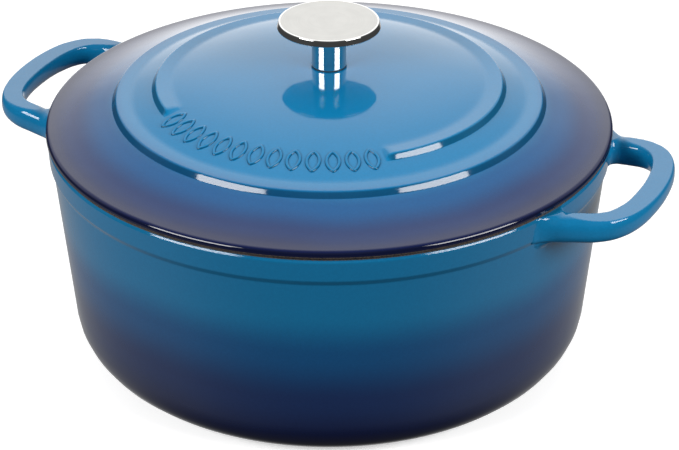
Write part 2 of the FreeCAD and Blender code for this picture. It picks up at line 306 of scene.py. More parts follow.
def steel(name):
    # turning marks run in circles about the knob's axis
    look = steelLooks[name]
    material, tree, shader, place = newMaterial(name, {"Metallic": 1.0})
    across = joinVector(tree, flatLength(tree, place), splitVector(tree, place)["Z"])
    marks = noise(tree, across, look["grooves"], 3.0)
    smear = noise(tree, place, 120.0)
    shade = addNode(tree, "ShaderNodeMix", {0: steelSmear, 2: marks, 3: smear}).outputs[0]
    dark = tuple(steelDark * channel for channel in look["tone"])
    colour = colourRamp(tree, shade, [(0.35, dark), (0.65, look["tone"])])
    tree.links.new(colour, shader.inputs["Base Color"])
    rough = mapRange(tree, shade, 0.0, 1.0, look["roughness"] * 0.75, look["roughness"] * 1.25)
    tree.links.new(rough, shader.inputs["Roughness"])
    addBump(tree, shader, marks, look["depth"] * mm)
    return material


# the pot's and the handles' coats are darker copies of the lid's, with painted shade
potEnamel = enamel("potEnamel", "height", enamelLook["potShade"])
handleEnamel = enamel("handleEnamel", "height", enamelLook["handleShade"])
lidEnamel = enamel("lidEnamel", "radius")
insideEnamel = creamEnamel()
rimIron = grainy("bareIron", ironLook)
gasketRubber = grainy("blackRubber", rubberLook)
brushedSteel, polishedSteel, screwSteel = (steel(name) for name in steelLooks)
print("materials ready")


hold = 0.35                    # distance from an arc to the point that keeps its flat side flat, mm
arcStep = 14                   # degrees


def bend(points, radii):
    # corner points to a profile: each inner corner gets an arc, with a holding point on its long sides
    out = [points[0]]
    for i in range(1, len(points) - 1):
        here = Vector(points[i])
        back, ahead = Vector(points[i - 1]) - here, Vector(points[i + 1]) - here
        r = radii[i - 1]
        if r <= 0:
            out.append(tuple(here))
            continue
        opening = back.angle(ahead)
        cut = r / math.tan(opening / 2)
        centre = here + (back.normalized() + ahead.normalized()).normalized() * (r / math.sin(opening / 2))
        start, end = here + back.normalized() * cut, here + ahead.normalized() * cut
        if back.length > 2 * cut + 2 * hold:
            out.append(tuple(start + back.normalized() * hold))
        turn = math.pi - opening
        steps = max(2, math.ceil(math.degrees(turn) / arcStep))
        a, b = start - centre, end - centre
        sense = math.copysign(1, a.x * b.y - a.y * b.x)
        for k in range(steps + 1):
            angle = sense * turn * k / steps
            cosA, sinA = math.cos(angle), math.sin(angle)
            out.append((centre.x + a.x * cosA - a.y * sinA, centre.y + a.x * sinA + a.y * cosA))
        if ahead.length > 2 * cut + 2 * hold:
            out.append(tuple(end + ahead.normalized() * hold))
    return out + [points[-1]]


def profileObject(name, zones, lift=None):
    # one edge loop in the XZ plane, in mm; a zone number per point picks the finish of the band after it
    points, finish = [], []
    for zone, part in zones:
        for point in part:
            if points and math.dist(points[-1], point) < 0.01:
                finish[-1] = zone
                continue
            points.append(point)
            finish.append(zone)
    mesh = bpy.data.meshes.new(name)
    path = [(i, i + 1) for i in range(len(points) - 1)]
    mesh.from_pydata([(r * mm, 0, z * mm) for r, z in points], path, [])
    mesh.attributes.new("zone", "INT", "POINT").data.foreach_set("value", finish)
    lifts = [lift(r, z) * mm if lift else 0.0 for r, z in points]
    mesh.attributes.new("lift", "FLOAT", "POINT").data.foreach_set("value", lifts)
    return newObject(name, mesh)


def turnedTree(name, materials):
    # sweeps the profile round Z; "lift" is height that a break in the turning takes away
    tree, sizes, groupOut = newTree(name, {
        "Columns": 256, "Break Half Angle": 0.0, "Break End Length": 0.004})
    profile = sizes["Geometry"]
    count = addNode(tree, "GeometryNodeAttributeDomainSize", {0: profile}, component="MESH")
    rows = count.outputs["Point Count"]
    columns = mathNode(tree, "ADD", sizes["Columns"], 1.0)
    grid = addNode(tree, "GeometryNodeMeshGrid", {"Vertices X": columns, "Vertices Y": rows}).outputs["Mesh"]
    index = addNode(tree, "GeometryNodeInputIndex").outputs[0]
    row = mathNode(tree, "MODULO", index, rows)
    column = mathNode(tree, "FLOOR", mathNode(tree, "DIVIDE", mathNode(tree, "ADD", index, 0.5), rows))
    angle = mathNode(tree, "MULTIPLY", mathNode(tree, "DIVIDE", column, sizes["Columns"]), math.tau)

    position = addNode(tree, "GeometryNodeInputPosition").outputs[0]
    at = addNode(tree, "GeometryNodeSampleIndex", {0: profile, 1: position, "Index": row},
                 data_type="FLOAT_VECTOR").outputs[0]
    liftName = addNode(tree, "GeometryNodeInputNamedAttribute", {0: "lift"}, data_type="FLOAT").outputs[0]
    lift = addNode(tree, "GeometryNodeSampleIndex", {0: profile, 1: liftName, "Index": row}).outputs[0]
    apart = splitVector(tree, at)

    # distance along the circle from the end of the break, rounded down over the end length
    fromFront = mathNode(tree, "ABSOLUTE", mathNode(tree, "SUBTRACT", angle, 1.5 * math.pi))
    past = mathNode(tree, "SUBTRACT", fromFront, sizes["Break Half Angle"])
    past = mathNode(tree, "MULTIPLY", past, apart[0])
    share = mathNode(tree, "DIVIDE", past, sizes["Break End Length"], clamp=True)
    left = mathNode(tree, "SUBTRACT", 1.0, share)
    full = mathNode(tree, "SQRT", mathNode(tree, "SUBTRACT", 1.0, mathNode(tree, "MULTIPLY", left, left)))
    drop = mathNode(tree, "MULTIPLY", lift, mathNode(tree, "SUBTRACT", 1.0, full))

    x = mathNode(tree, "MULTIPLY", apart[0], mathNode(tree, "COSINE", angle))
    y = mathNode(tree, "MULTIPLY", apart[0], mathNode(tree, "SINE", angle))
    z = mathNode(tree, "SUBTRACT", apart[2], drop)
    spun = joinVector(tree, x, y, z)

    # each face takes the zone of its band, which picks its material
    band = mathNode(tree, "MODULO", index, mathNode(tree, "SUBTRACT", rows, 1.0))
    zoneName = addNode(tree, "GeometryNodeInputNamedAttribute", {0: "zone"}, data_type="INT").outputs[0]
    zone = addNode(tree, "GeometryNodeSampleIndex", {0: profile, 1: zoneName, "Index": band},
                   data_type="INT").outputs[0]
    marked = addNode(tree, "GeometryNodeStoreNamedAttribute", {0: grid, "Name": "zone", "Value": zone},
                     data_type="INT", domain="FACE").outputs[0]
    moved = addNode(tree, "GeometryNodeSetPosition", {0: marked, "Position": spun}).outputs[0]
    shape = addNode(tree, "GeometryNodeMergeByDistance", {0: moved, "Distance": mergeGap * mm}).outputs[0]
    for number, material in enumerate(materials):
        chosen = addNode(tree, "FunctionNodeCompare", {2: zoneName, 3: number},
                         data_type="INT", operation="EQUAL").outputs[0]
        shape = addNode(tree, "GeometryNodeSetMaterial",
                        {"Geometry": shape, "Selection": chosen, "Material": material}).outputs[0]
    finishTree(tree, groupOut, shape, None)
    return tree


pot = {
    "rimR": 134.5,
    "height": round(lidLow[2] / mm + flangeDepth, 1),
    "draft": 5.5,              # degrees
    "wall": 4.0,
    "rimLip": 0.8,
    "collarHeight": 13.0,
    "collarStep": 1.9,
    "stepLow": 1.2,            # the collar's step starts and ends this far under and over its line
    "stepHigh": 1.4,
    "stepLean": 0.6,           # the step ends this much inside the rim
    "stepRound": 1.6,
    "cornerR": 25.0,
    "footWidth": 6.0,
    "recess": 1.2,
    "recessSlope": 2.0,        # width of the way down from the recess to the standing ring
    "floor": 5.0,
    "bareRim": 1.2,            # height of the uncoated edge
    "rimBevel": 0.9,           # width of the coat's sloping end under it
    "bevelHeight": 0.9,
    "bevelRound": 1.2,
    "rimRounds": (0.4, 0.6),   # outer and inner edge of the rim
    "creamDown": 1.2,          # the cream coat starts this far under the rim
}
slope = math.tan(math.radians(pot["draft"]))
boreR = pot["rimR"] - pot["wall"] - pot["rimLip"]
collarZ = pot["height"] - pot["collarHeight"]


def wallR(z):
    return pot["rimR"] - pot["collarStep"] - (collarZ - z) * slope


def insideR(z):
    return boreR - slope * (pot["height"] - z)


def buildPot():
    top, recess = pot["height"], pot["recess"]
    floorZ = recess + pot["floor"]
    footOut = wallR(0) - pot["cornerR"] * math.tan(math.radians(45 - pot["draft"] / 2))
    footIn = footOut - pot["footWidth"]
    coatEnd, coatTop = pot["rimR"] - pot["rimBevel"], top - pot["bareRim"]
    slopeIn = footIn - pot["recessSlope"]
    under = bend([(0, recess), (footIn - 30, recess), (slopeIn, recess), (footIn, 0)], [0, 1.0])
    foot = [(footIn, 0), (footOut, 0)]
    # rows between the corners keep the faces on the long walls and the floor short
    wallRows = [(wallR(z), z) for z in (30, 45, 60, 75, 90)]
    stepFoot = collarZ - pot["stepLow"]
    outside = bend([(footOut, 0), (wallR(0), 0)] + wallRows
                   + [(wallR(stepFoot), stepFoot), (pot["rimR"] - pot["stepLean"], collarZ + pot["stepHigh"]),
                      (pot["rimR"] - 0.1, coatTop - pot["bevelHeight"]), (coatEnd, coatTop)],
                   [pot["cornerR"] - 0.01] + [0] * len(wallRows)
                   + [pot["stepRound"], pot["stepRound"], pot["bevelRound"]])
    creamTop = top - pot["creamDown"]
    rim = bend([(coatEnd, coatTop), (coatEnd, top), (boreR, top), (boreR, creamTop)], pot["rimRounds"])
    insideRows = [(insideR(z), z) for z in (100, 80, 60, 40)]
    inside = bend([(boreR, creamTop)] + insideRows
                  + [(insideR(floorZ), floorZ), (60, floorZ), (20, floorZ), (0, floorZ)],
                  [0] * len(insideRows) + [pot["cornerR"] - pot["wall"], 0, 0])
    body = profileObject("potBody", [(0, under), (1, foot), (0, outside), (1, rim), (2, inside)])
    runTree(body, turnedTree("turnedPot", [potEnamel, rimIron, insideEnamel]), {"Columns": 288})
    addPiece(body, "pot", "blue_enamel", "pot")


buildPot()


handle = {
    "reach": 32.3,             # rim to outermost point
    "spread": 41.9,            # half distance between the arms
    "width": 11.2,
    "height": 13.2,
    "square": 2.4,             # 2 is an oval section, more is squarer
    "slim": 0.12,              # width lost at the grip
    "flare": 0.40,             # share by which an arm is larger at its root
    "flareLength": 30.0,
    "blend": 6.0,              # radius of the sweep into the wall
    "wallIn": 0.4,             # the skin meets the wall this far inside the rim's width
    "stepSoft": 1.3,           # height over which the skin follows the collar's step
    "rootDeep": 2.0,           # how far the arms go into the wall
    "rootDown": 8.3,           # the bar's middle under the rim, at the wall and at the tip
    "tipDown": 5.2,
}


def handleRoute():
    # plan of one handle on the +X side: straight arms, tight shoulders, gently bowed grip
    s, top = handle["spread"], pot["height"]
    tip = pot["rimR"] + handle["reach"] - handle["width"] * (1 - handle["slim"]) / 2
    rootZ, tipZ = top - handle["rootDown"], top - handle["tipDown"]
    half = [
        (pot["rimR"] - 14, s + 2.4, rootZ - 0.9),
        (pot["rimR"] - 3, s, rootZ),
        (pot["rimR"] + 4, s - 1.1, rootZ + 0.9),
        (tip - 15.8, s - 2.6, rootZ + 1.7),
        (tip - 9.2, s - 6.6, rootZ + 2.3),
        (tip - 4.7, s - 13.2, rootZ + 2.6),
        (tip - 1.9, s - 21.8, rootZ + 2.8),
        (tip - 0.5, s - 31.2, tipZ),
    ]
    return half + [(tip, 0, tipZ)] + [(x, -y, z) for x, y, z in reversed(half)]


def handleTree():
    tree, sizes, groupOut = newTree("sweptHandles", {
        "Width": 0.011, "Height": 0.013, "Squareness": 2.4, "Slim": 0.12, "Flare": 0.4, "Flare Length": 0.03,
        "Blend Radius": 0.006, "Root Depth": 0.002, "Wall Radius": 0.134, "Blend Top": 0.114,
        "Collar Height": 0.102, "Collar Step": 0.0019, "Step Softness": 0.0013, "Wall Slope": 0.096,
        "Rings": 300, "Sides": 56})
    curve = addNode(tree, "GeometryNodeMeshToCurve", {0: sizes["Geometry"]}).outputs[0]
    curve = addNode(tree, "GeometryNodeCurveSplineType", {0: curve}, spline_type="CATMULL_ROM").outputs[0]
    curve = addNode(tree, "GeometryNodeResampleCurve", {0: curve, "Count": sizes["Rings"]}).outputs[0]
    curve = addNode(tree, "GeometryNodeSetCurveNormal", {0: curve}, mode="Z_UP").outputs[0]
    along = addNode(tree, "GeometryNodeSplineParameter").outputs
    total = addNode(tree, "GeometryNodeSplineLength").outputs[0]
    fromEnd = mathNode(tree, "MINIMUM", along["Length"], mathNode(tree, "SUBTRACT", total, along["Length"]))
    rest = mathNode(tree, "DIVIDE", fromEnd, sizes["Flare Length"])
    rest = mathNode(tree, "SUBTRACT", 1.0, rest, clamp=True)
    flare = mathNode(tree, "MULTIPLY", mathNode(tree, "MULTIPLY", rest, rest), sizes["Flare"])
    wave = mathNode(tree, "SINE", mathNode(tree, "MULTIPLY", along["Factor"], math.pi))
    slim = mathNode(tree, "MULTIPLY", mathNode(tree, "MULTIPLY", wave, wave), sizes["Slim"])
    scale = mathNode(tree, "SUBTRACT", mathNode(tree, "ADD", 1.0, flare), slim)
    curve = addNode(tree, "GeometryNodeSetCurveRadius", {0: curve, "Radius": scale}).outputs[0]

    # section: a circle pulled towards a rounded rectangle
    circle = addNode(tree, "GeometryNodeCurvePrimitiveCircle", {"Resolution": sizes["Sides"], "Radius": 1.0},
                     mode="RADIUS").outputs[0]
    spot = splitVector(tree, addNode(tree, "GeometryNodeInputPosition").outputs[0])
    power = mathNode(tree, "DIVIDE", 2.0, sizes["Squareness"])
    pulled = []
    for axis, size in ((0, sizes["Width"]), (1, sizes["Height"])):
        grown = mathNode(tree, "POWER", mathNode(tree, "ABSOLUTE", spot[axis]), power)
        grown = mathNode(tree, "MULTIPLY", grown, mathNode(tree, "SIGN", spot[axis]))
        pulled.append(mathNode(tree, "MULTIPLY", grown, mathNode(tree, "MULTIPLY", size, 0.5)))
    section = joinVector(tree, *pulled)
    section = addNode(tree, "GeometryNodeSetPosition", {0: circle, "Position": section}).outputs[0]
    bar = addNode(tree, "GeometryNodeCurveToMesh", {0: curve, 1: section, "Fill Caps": True}).outputs[0]

    def wallAt(z):
        # outside radius of the pot at a height: the collar, its step and the tapered wall under it
        under = mathNode(tree, "MAXIMUM", mathNode(tree, "SUBTRACT", sizes["Collar Height"], z), 0.0)
        inset = mapRange(tree, under, 0.0, sizes["Step Softness"], 0.0, sizes["Collar Step"], "SMOOTHSTEP")
        inset = mathNode(tree, "ADD", inset, mathNode(tree, "MULTIPLY", under, sizes["Wall Slope"]))
        return mathNode(tree, "SUBTRACT", sizes["Wall Radius"], inset)

    # the bar sweeps into the wall: its skin spreads along the wall by a quarter circle of the blend radius
    radius = sizes["Blend Radius"]
    here = addNode(tree, "GeometryNodeInputPosition").outputs[0]
    gap = mathNode(tree, "SUBTRACT", flatLength(tree, here), wallAt(splitVector(tree, here)["Z"]))
    inside = mathNode(tree, "SUBTRACT", radius, mathNode(tree, "MAXIMUM", gap, 0.0))
    inside = mathNode(tree, "MAXIMUM", inside, 0.0)
    square = mathNode(tree, "SUBTRACT", mathNode(tree, "MULTIPLY", radius, radius),
                      mathNode(tree, "MULTIPLY", inside, inside))
    push = mathNode(tree, "SUBTRACT", radius, mathNode(tree, "SQRT", square))
    offset = scaled(tree, addNode(tree, "GeometryNodeInputNormal").outputs[0], push)
    moved = addNode(tree, "ShaderNodeVectorMath", {0: here, 1: offset}).outputs[0]
    spot = splitVector(tree, moved)

    # then each pushed point goes back to its own distance from the wall, and the ends stay inside the wall
    capped = mathNode(tree, "MINIMUM", spot["Z"], sizes["Blend Top"])
    deep = mathNode(tree, "MAXIMUM", gap, mathNode(tree, "MULTIPLY", sizes["Root Depth"], -1.0))
    stretch = mathNode(tree, "DIVIDE", mathNode(tree, "ADD", wallAt(capped), deep), flatLength(tree, moved))
    near = mathNode(tree, "GREATER_THAN", inside, 0.0)
    stretch = mathNode(tree, "MULTIPLY", near, mathNode(tree, "SUBTRACT", stretch, 1.0))
    stretch = mathNode(tree, "ADD", stretch, 1.0)
    swept = joinVector(tree, mathNode(tree, "MULTIPLY", spot["X"], stretch),
                       mathNode(tree, "MULTIPLY", spot["Y"], stretch), capped)
    bar = addNode(tree, "GeometryNodeSetPosition", {0: bar, "Position": swept}).outputs[0]

    other = addNode(tree, "GeometryNodeTransform", {0: bar, "Rotation": (0, 0, math.pi)}).outputs[0]
    both = addNode(tree, "GeometryNodeJoinGeometry", {0: bar})
    tree.links.new(other, both.inputs[0])
    finishTree(tree, groupOut, both.outputs[0], handleEnamel)
    return tree


def buildHandles():
    route = handleRoute()
    mesh = bpy.data.meshes.new("loopHandles")
    mesh.from_pydata([Vector(p) * mm for p in route], [(i, i + 1) for i in range(len(route) - 1)], [])
    bars = newObject("loopHandles", mesh)
    runTree(bars, handleTree(), {
        "Width": handle["width"] * mm, "Height": handle["height"] * mm, "Squareness": handle["square"],
        "Slim": handle["slim"], "Flare": handle["flare"], "Flare Length": handle["flareLength"] * mm,
        "Blend Radius": handle["blend"] * mm, "Root Depth": handle["rootDeep"] * mm,
        "Wall Radius": (pot["rimR"] - handle["wallIn"]) * mm,
        "Blend Top": (pot["height"] - pot["bareRim"]) * mm, "Collar Height": collarZ * mm,
        "Collar Step": pot["collarStep"] * mm, "Step Softness": handle["stepSoft"] * mm, "Wall Slope": slope})
    addPiece(bars, "pot", "blue_enamel")


buildHandles()


lid = {
    "edge": 3.5,               # edge thickness
    "rise": 29.6,              # crown over the rim
    "crownShape": (0.504, 1.787, -1.291),  # weights of the 2nd, 4th and 6th power of the radius
    "plate": 4.1,
    "ringHeight": 2.9,
    "ringWidth": 9.5,
    "ringLean": 1.9,
    "ringRounds": (9.0, 1.3, 0.3),  # inner foot, crest and outer foot
    "outerRing": 103.1,
    "innerRing": 84.0,
    "breakHalf": 42.0,         # degrees either side of the front
    "breakEnd": 4.0,           # length over which the ring ends round down
    "seatGap": 0.8,
    "flangeWidth": 3.8,
    "flangeRounds": (0.3, 0.8, 0.8),  # seat corner, then the flange's lower edges
    "shoulder": 4.5,           # the dome ends this far inside the edge
    "bareEdge": 1.0,
    "bareRound": 0.8,
    "edgeRound": 2.0,
    "landR": 10.0,             # flat middle under the knob
    "landDown": 0.1,
    "holeR": 3.0,
}
edgeTop = pot["height"] + lid["edge"]
crownZ = pot["height"] + lid["rise"]
holeR = lid["holeR"]


def crown(r):
    u = r / lidR
    second, fourth, sixth = lid["crownShape"]
    return crownZ - (crownZ - edgeTop) * (second * u ** 2 + fourth * u ** 4 + sixth * u ** 6)


def spaced(low, high, step):
    count = max(1, round((high - low) / step))
    return [low + (high - low) * i / count for i in range(count + 1)]


def domeRows(low, high, step):
    return [(r, crown(r)) for r in spaced(low, high, step)]


def ringCorners(footR):
    start = footR - lid["ringWidth"]
    crest = (footR - lid["ringLean"], crown(footR) + lid["ringHeight"])
    return [(start, crown(start)), crest, (footR, crown(footR))]


def buildLid():
    seat, landR, plate = pot["height"], lid["landR"], lid["plate"]
    landZ = crownZ - lid["landDown"]
    inner, outer = ringCorners(lid["innerRing"]), ringCorners(lid["outerRing"])
    shoulder = lidR - lid["shoulder"]
    rows = domeRows(landR + 1.5, inner[0][0] - 2.5, 3.0)
    corners, radii = [(holeR, landZ), (landR, landZ)] + rows, [0] + [0] * len(rows)
    for ring, rowsEnd in ((inner, outer[0][0] - 2.5), (outer, shoulder - 2)):
        rows = domeRows(ring[2][0] + 1.5, rowsEnd, 2.0)
        corners += ring + rows
        radii += list(lid["ringRounds"]) + [0] * len(rows)
    corners += [(shoulder, crown(shoulder)), (lidR - 0.1, edgeTop), (lidR, seat + lid["bareEdge"])]
    radii += [0, lid["edgeRound"]]
    top = bend(corners, radii)

    seatR = boreR - lid["seatGap"]
    flangeIn, low = seatR - lid["flangeWidth"], seat - flangeDepth
    bare = bend([(lidR, seat + lid["bareEdge"]), (lidR, seat), (seatR, seat), (seatR, low), (flangeIn, low),
                 (flangeIn - 0.2, low + 1.5)], [lid["bareRound"], *lid["flangeRounds"]])
    # the underside runs straight from the flange to the flat middle
    coneIn, coneOut = landR + 1.5, flangeIn - 4.0
    under = [(flangeIn - 0.2, low + 1.5), (flangeIn - 0.3, low + 2.6), (flangeIn - 0.7, seat + 0.2),
             (coneOut, crown(coneOut) - plate), (coneIn, crown(coneIn) - plate),
             (landR, landZ - plate), (holeR, landZ - plate)]
    bore = [(holeR, landZ - plate), (holeR, landZ)]

    def lift(r, z):
        # height of the inner ring over the dome
        within = inner[0][0] - 3 < r < inner[2][0] + 0.5 and z > crown(r)
        return z - crown(r) if within else 0.0

    shell = profileObject("lidShell", [(0, top), (1, bare), (2, under), (1, bore)], lift)
    runTree(shell, turnedTree("turnedLid", [lidEnamel, rimIron, insideEnamel]), {
        "Columns": 480, "Break Half Angle": math.radians(lid["breakHalf"]),
        "Break End Length": lid["breakEnd"] * mm})
    addPiece(shell, "lid", "blue_enamel", "lid")


buildLid()

petals = {
    "count": 13,
    "length": 14.0,
    "width": 7.4,
    "bead": 1.7,               # width of the raised outline
    "relief": 0.7,
    "sunk": 0.05,
    "rowR": 81.6,
    "fromEnd": 4.5,            # degrees between the ring's end and the first petal
}


def buildPetals():
    # one petal outline as a closed path; the tree sweeps a half-round bead along it and sets out the row
    halfL, halfW = (petals["length"] - petals["bead"]) / 2, (petals["width"] - petals["bead"]) / 2
    arcR = (halfL ** 2 + halfW ** 2) / (2 * halfW)
    spread = math.asin(halfL / arcR)
    steps = 24
    turns = [spread * (2 * k / steps - 1) for k in range(steps + 1)]
    side = [(arcR * math.sin(turn), arcR * math.cos(turn) - arcR + halfW) for turn in turns]
    outline = side + [(-x, -y) for x, y in side[1:-1]]
    loop = [(i, (i + 1) % len(outline)) for i in range(len(outline))]
    mesh = bpy.data.meshes.new("lidPetals")
    mesh.from_pydata([(x * mm, y * mm, 0) for x, y in outline], loop, [])
    row = newObject("lidPetals", mesh)

    tree, sizes, groupOut = newTree("petalRow", {
        "Count": 13, "Row Radius": 0.08, "Half Angle": 0.6, "Bead Width": 0.0017, "Relief": 0.0009,
        "Row Height": 0.135, "Tilt": 0.3})
    path = addNode(tree, "GeometryNodeMeshToCurve", {0: sizes["Geometry"]}).outputs[0]
    path = addNode(tree, "GeometryNodeSetCurveNormal", {0: path}, mode="Z_UP").outputs[0]
    ring = addNode(tree, "GeometryNodeCurvePrimitiveCircle", {"Resolution": 12, "Radius": 1.0},
                   mode="RADIUS").outputs[0]
    spot = splitVector(tree, addNode(tree, "GeometryNodeInputPosition").outputs[0])
    across = mathNode(tree, "MULTIPLY", spot["X"], mathNode(tree, "MULTIPLY", sizes["Bead Width"], 0.5))
    upward = mathNode(tree, "MULTIPLY", spot["Y"], sizes["Relief"])
    bead = joinVector(tree, across, upward)
    bead = addNode(tree, "GeometryNodeSetPosition", {0: ring, "Position": bead}).outputs[0]
    petal = addNode(tree, "GeometryNodeCurveToMesh", {0: path, 1: bead}).outputs[0]
    petal = addNode(tree, "GeometryNodeTransform", {
        0: petal, "Rotation": joinVector(tree, y=sizes["Tilt"]),
        "Translation": joinVector(tree, x=sizes["Row Radius"], z=sizes["Row Height"])}).outputs[0]
    dots = addNode(tree, "GeometryNodePoints", {"Count": sizes["Count"]}).outputs[0]
    index = addNode(tree, "GeometryNodeInputIndex").outputs[0]
    share = mathNode(tree, "DIVIDE", index, mathNode(tree, "SUBTRACT", sizes["Count"], 1.0))
    swing = mathNode(tree, "SUBTRACT", mathNode(tree, "MULTIPLY", share, 2.0), 1.0)
    angle = mathNode(tree, "SUBTRACT", mathNode(tree, "MULTIPLY", swing, sizes["Half Angle"]), math.pi / 2)
    placed = addNode(tree, "GeometryNodeInstanceOnPoints", {
        0: dots, "Instance": petal, "Rotation": joinVector(tree, z=angle)}).outputs[0]
    finishTree(tree, groupOut, placed, lidEnamel)
    drop = (crown(petals["rowR"] + 1) - crown(petals["rowR"] - 1)) / 2
    runTree(row, tree, {
        "Count": petals["count"], "Row Radius": petals["rowR"] * mm,
        "Half Angle": math.radians(lid["breakHalf"] - petals["fromEnd"]),
        "Bead Width": petals["bead"] * mm, "Relief": petals["relief"] * mm,
        "Row Height": (crown(petals["rowR"]) - petals["sunk"]) * mm, "Tilt": -math.atan(drop)})
    addPiece(row, "lid", "blue_enamel")


buildPetals()

nubs = {
    "circles": ((34.0, 8), (62.0, 14), (90.0, 20)),  # radius and count
    "radius": 2.6,
    "height": 1.8,
    "down": 0.1,               # centre below the dome's line less the plate
}


def buildNubs():
    # rounded nubs on the dome's line less the plate, one circle of them per tree run
    tree, sizes, groupOut = newTree("nubCircle", {"Count": 8, "Circle Radius": 0.03, "Circle Height": 0.13})
    dots = addNode(tree, "GeometryNodePoints", {"Count": sizes["Count"]}).outputs[0]
    index = addNode(tree, "GeometryNodeInputIndex").outputs[0]
    share = mathNode(tree, "DIVIDE", mathNode(tree, "ADD", index, 0.5), sizes["Count"])
    angle = mathNode(tree, "MULTIPLY", share, math.tau)
    x = mathNode(tree, "MULTIPLY", mathNode(tree, "COSINE", angle), sizes["Circle Radius"])
    y = mathNode(tree, "MULTIPLY", mathNode(tree, "SINE", angle), sizes["Circle Radius"])
    spot = joinVector(tree, x, y, sizes["Circle Height"])
    dots = addNode(tree, "GeometryNodeSetPosition", {0: dots, "Position": spot}).outputs[0]
    placed = addNode(tree, "GeometryNodeInstanceOnPoints", {
        0: dots, "Instance": sizes["Geometry"]}).outputs[0]
    finishTree(tree, groupOut, placed, insideEnamel)
    parts = []
    for circleR, count in nubs["circles"]:
        bm = bmesh.new()
        bmesh.ops.create_uvsphere(bm, u_segments=16, v_segments=8, radius=1.0)
        for vert in bm.verts:
            x, y, z = vert.co
            vert.co = Vector((x * nubs["radius"], y * nubs["radius"], z * nubs["height"])) * mm
        mesh = bpy.data.meshes.new("nub")
        bm.to_mesh(mesh)
        bm.free()
        obj = newObject("nub", mesh)
        runTree(obj, tree, {"Count": count, "Circle Radius": circleR * mm,
                            "Circle Height": (crown(circleR) - lid["plate"] - nubs["down"]) * mm})
        parts.append(obj)
    joined = bmesh.new()
    for obj in parts:
        joined.from_mesh(obj.data)
        bpy.data.objects.remove(obj)
    mesh = bpy.data.meshes.new("dripNubs")
    joined.to_mesh(mesh)
    joined.free()
    mesh.materials.append(insideEnamel)
    mesh.shade_smooth()
    addPiece(newObject("dripNubs", mesh), "lid", "blue_enamel")


buildNubs()


knob = {
    "discR": 24.6,             # at the rim's corner, before it is rounded
    "rimLean": 0.9,            # how far the rim leans in up to the face
    "rimRound": 0.4,
    "dish": 0.4,               # rise of the underside towards the rim
    "columnR": round((columnHigh[0] - columnLow[0]) / 2 / mm, 1),
    "columnRounds": (0.3, 0.05, 0.05, 0.05),  # foot, shoulder, spigot's foot and top
    "spigotR": 4.0,
    "threadR": 2.6,
    "threadDeep": 14.5,
    "drillTip": 1.3,           # cone past the thread's end
    "fit": 0.05,               # clearance round and over the spigot
    "gasketRound": 0.2,
}


def buildKnob():
    low, high = gasketLow[2] / mm, gasketHigh[2] / mm
    gasketR, cut = (gasketHigh[0] - gasketLow[0]) / 2 / mm, knob["gasketRound"]
    ring = [(holeR, low), (gasketR - cut, low), (gasketR, low + cut), (gasketR, high - cut),
            (gasketR - cut, high), (holeR, high), (holeR, low)]
    gasket = profileObject("knobWasherRing", [(0, ring)])
    runTree(gasket, turnedTree("turnedGasket", [gasketRubber]), {"Columns": 96})
    addPiece(gasket, "lid", "black_rubber", "knob_gasket")

    foot, spigotTop, under = columnLow[2] / mm, columnHigh[2] / mm, discLow[2] / mm
    r, spigotR, threadR = knob["columnR"], knob["spigotR"], knob["threadR"]
    column = bend([(threadR, foot), (r, foot), (r, under), (spigotR, under), (spigotR, spigotTop),
                   (0, spigotTop)], knob["columnRounds"])
    threadEnd = foot + knob["threadDeep"]
    bore = [(0, spigotTop - 0.3), (0, threadEnd + knob["drillTip"]), (threadR, threadEnd), (threadR, foot)]
    shaft = profileObject("knobColumn", [(0, column), (0, bore)])
    runTree(shaft, turnedTree("turnedColumn", [polishedSteel]), {"Columns": 96})
    addPiece(shaft, "lid", "polished_steel", "knob_stem")

    top, discR, rimRound = discHigh[2] / mm, knob["discR"], knob["rimRound"]
    faceR, socketR, socketZ = discR - knob["rimLean"], spigotR + knob["fit"], spigotTop + knob["fit"]
    brushedR = faceR - 0.8
    face = [(x, top) for x in spaced(0, brushedR, 2.6)]
    edge = bend([(brushedR, top), (faceR, top), (discR, under + knob["dish"]), (r + 1, under),
                 (socketR, under), (socketR, socketZ), (0, socketZ)], [rimRound, rimRound, 0, 0, 0])
    disc = profileObject("knobDisc", [(0, face), (1, edge)])
    runTree(disc, turnedTree("turnedDisc", [brushedSteel, polishedSteel]), {"Columns": 160})
    addPiece(disc, "lid", "brushed_steel", "knob_head")


buildKnob()

for nodeName in ("knob_screw", "screw_washer", "lock_washer"):
    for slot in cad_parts[nodeName].material_slots:
        slot.material = screwSteel
print("fastening painted")


studio = {
    "turn": 23.9,              # degrees the part is turned against the camera
    "cameraAway": 1.100,
    "cameraHigh": 0.6601,
    "pitch": 28.68,
    "yaw": 0.25,
    "roll": -0.1,
    "lens": 135.95,
    "sensor": 36.0,
    "skyBehind": 1.70,
    "skyFront": 0.15,
    "skyAside": 0.55,          # share of the sky left at either side
    "lowDark": 0.06,           # the dim band above the table, front and sides
    "tableSide": 0.38,
    "tableFront": 0.11,
    "tableFoot": 0.15,         # share of the table's light left straight below
    "floorTone": 0.9,
    "floorGlow": 0.50,
    "floorDown": 0.0002,
    "boxAway": 1.1,
    "boxHigh": 0.64,
    "boxAim": 0.08,            # height of the point that both boxes face
    "boxTall": 0.42,
    "boxPower": 12,
    "boxes": {"leftBox": (-53, 0.70), "rightBox": (56, 0.72)},  # degrees from the camera, width
}
# where a change in the light starts and ends, as a part of the unit direction named after it
fades = {
    "sky": (-0.95, 0.15),      # to the camera
    "skyAside": (0.1, 0.5),    # across
    "table": (0.1, 0.9),       # to the camera
    "tableFoot": (-0.95, -0.62),  # up
    "dimFront": (-0.75, -0.35),  # to the camera
    "dimAside": (0.25, 0.5),   # across
    "dimTop": (0.12, 0.42),    # up
    "horizon": (-0.42, -0.22),  # up
}


